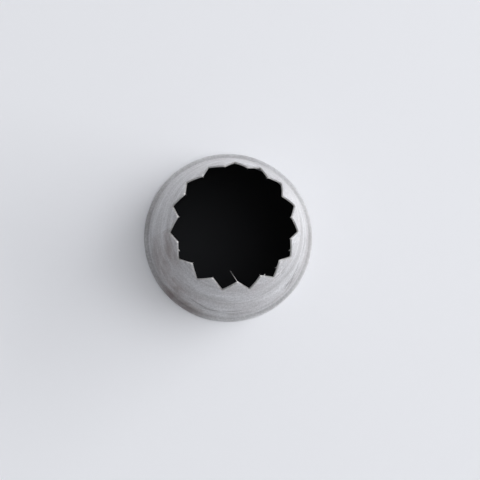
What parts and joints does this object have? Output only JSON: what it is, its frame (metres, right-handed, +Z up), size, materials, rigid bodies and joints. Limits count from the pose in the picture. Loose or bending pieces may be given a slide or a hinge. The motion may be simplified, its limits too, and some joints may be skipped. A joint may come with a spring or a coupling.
{
  "type": "piping nozzle",
  "caption": "Conical stainless icing nozzle standing on its rolled rim, with a pointed open-star crown of teeth round the mouth.",
  "frame": {"origin": "centre of the rolled rim's foot plane, on the nozzle's axis", "axes": "+Z up the nozzle's axis from the foot to the tooth points; the weld seam runs up the -Y side, through the middle of a tooth"},
  "size_m": [0.035, 0.035, 0.04],
  "materials": {
    "stainless_sheet": "satin, spun and lightly polished",
    "weld_metal": "ground flush outside, as laid inside"
  },
  "bodies": {
    "root": {"nozzle_shell": "stainless_sheet", "seam_weld": "weld_metal"}
  },
  "joints": []
}
